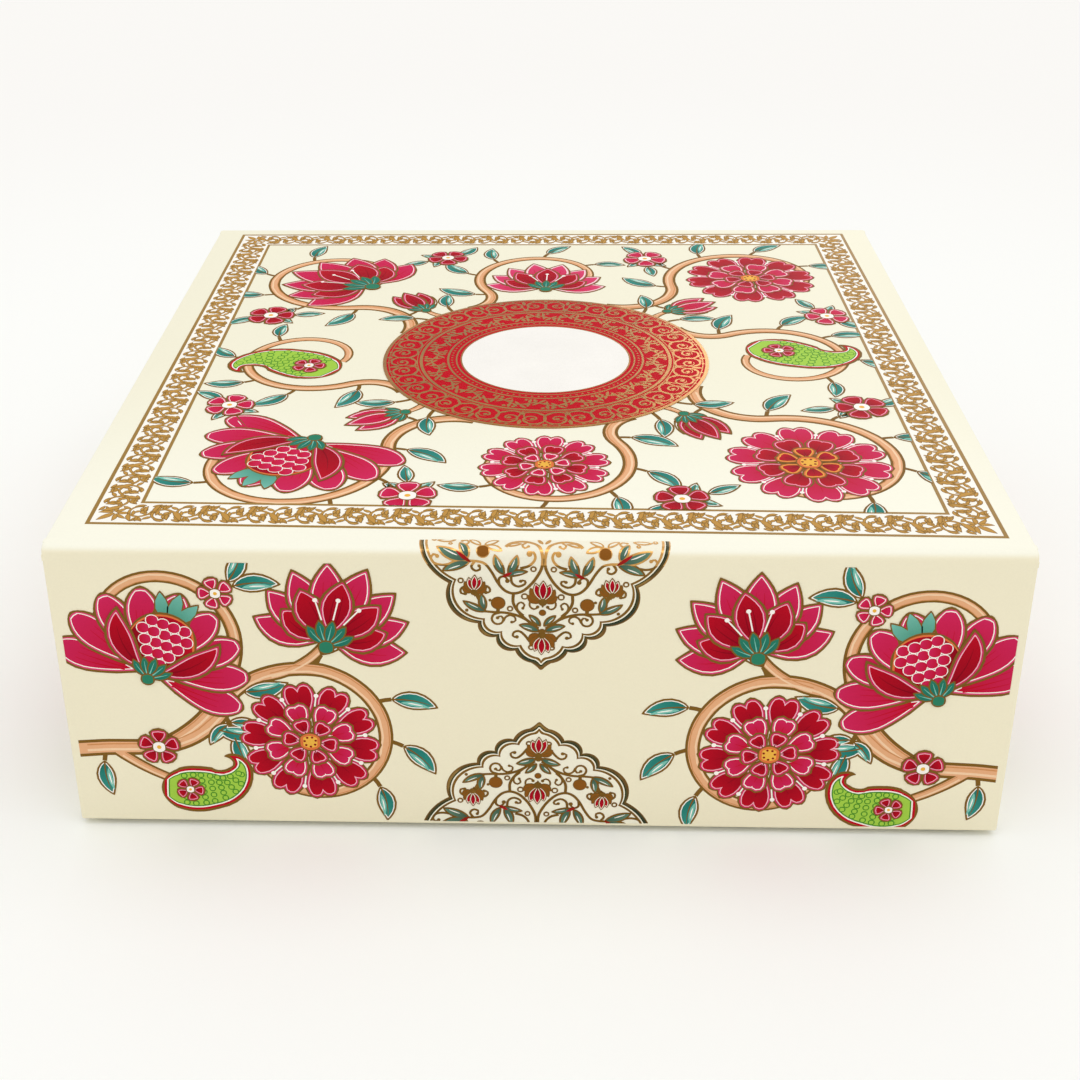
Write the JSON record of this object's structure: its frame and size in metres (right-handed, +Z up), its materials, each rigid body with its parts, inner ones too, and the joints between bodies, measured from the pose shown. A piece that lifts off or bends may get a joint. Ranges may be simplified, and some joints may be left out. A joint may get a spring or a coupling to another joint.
{
  "type": "hamper box",
  "caption": "Square rigid gift hamper box in floral printed paper, with a hinged lid and a front flap that shuts on hidden magnets.",
  "frame": {"origin": "middle of the closed box's underside, on the table", "axes": "+Z up, front flap at -Y, lid hinge at +Y, +X to the right seen from the front"},
  "size_m": [0.254, 0.254, 0.089],
  "materials": {
    "printed_paper": "matt-laminated art paper printed with flowers, with gold foil",
    "lining_paper": "uncoated wood-free paper",
    "grey_board": "raw recycled board",
    "kraft_tape": "gummed kraft tape",
    "nickel": "bright nickel plate",
    "keeper_steel": "zinc-plated"
  },
  "bodies": {
    "base": {"base_board": "grey_board", "spine_board": "grey_board", "cover_wrap_base": "printed_paper", "cover_wrap_spine": "printed_paper", "cover_fold_base": "printed_paper", "tray_floor_board": "grey_board", "tray_front_board": "grey_board", "tray_back_board": "grey_board", "tray_left_board": "grey_board", "tray_right_board": "grey_board", "corner_stay_front_left": "kraft_tape", "corner_stay_front_right": "kraft_tape", "corner_stay_back_left": "kraft_tape", "corner_stay_back_right": "kraft_tape", "tray_wrap": "printed_paper", "tray_lining_walls": "lining_paper", "tray_lining_floor": "lining_paper", "keeper_left": "keeper_steel", "keeper_right": "keeper_steel"},
    "lid": {"lid_board": "grey_board", "cover_wrap_lid": "printed_paper", "lid_lining": "lining_paper", "cover_fold_lid": "printed_paper", "lining_fold_lid": "lining_paper"},
    "flap": {"flap_board": "grey_board", "cover_wrap_flap": "printed_paper", "flap_lining": "lining_paper", "magnet_left": "nickel", "magnet_right": "nickel", "cover_fold_flap": "printed_paper", "lining_fold_flap": "lining_paper"}
  },
  "joints": [
    {"name": "lid_hinge", "type": "hinge", "parent": "base", "child": "lid", "pos_m": [0, 0.1254, 0.0874], "axis": [-1, 0, 0], "range_deg": [0, 194], "deforming": ["cover_fold_lid", "lining_fold_lid"]},
    {"name": "flap_hinge", "type": "hinge", "parent": "lid", "child": "flap", "pos_m": [0, -0.1246, 0.0866], "axis": [-1, 0, 0], "range_deg": [0, 90], "deforming": ["cover_fold_flap", "lining_fold_flap"]}
  ]
}
